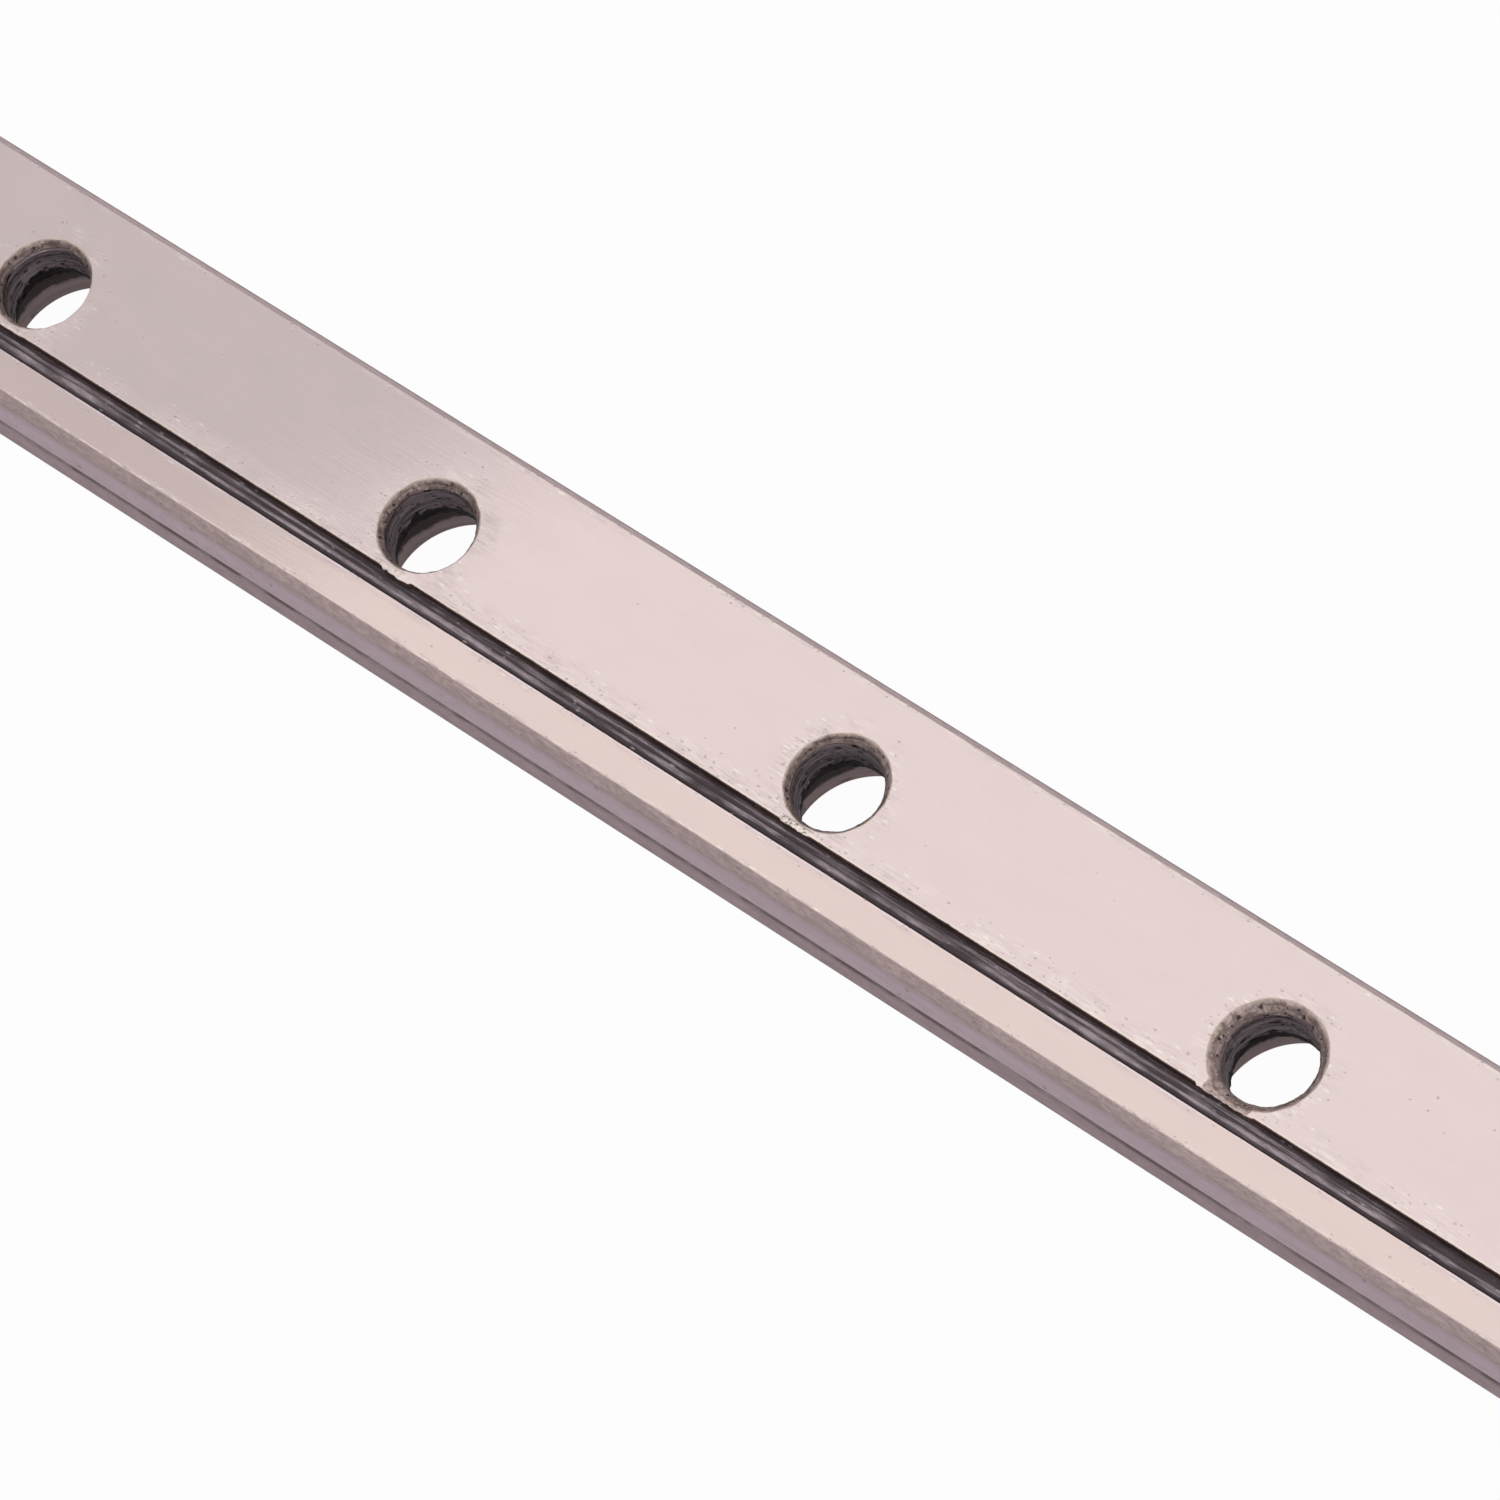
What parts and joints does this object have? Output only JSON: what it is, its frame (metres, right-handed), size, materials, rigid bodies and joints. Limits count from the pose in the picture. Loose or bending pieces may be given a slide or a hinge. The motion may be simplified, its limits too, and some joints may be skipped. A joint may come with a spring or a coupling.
{
  "type": "linear guide rail",
  "caption": "Miniature linear guide rail: a slim ground steel bar with a ball raceway in each side and countersunk, counterbored screw holes in a row.",
  "frame": {"origin": "centre of the bar's length and width, on the running face that it lies on", "axes": "+X along the bar, +Y across it, away from the marking groove's side, +Z out of the mounting face"},
  "size_m": [0.155, 0.009, 0.0055],
  "materials": {
    "rail_steel": "satin ground hardened steel"
  },
  "bodies": {
    "root": {"guide_rail": "rail_steel"}
  },
  "joints": []
}
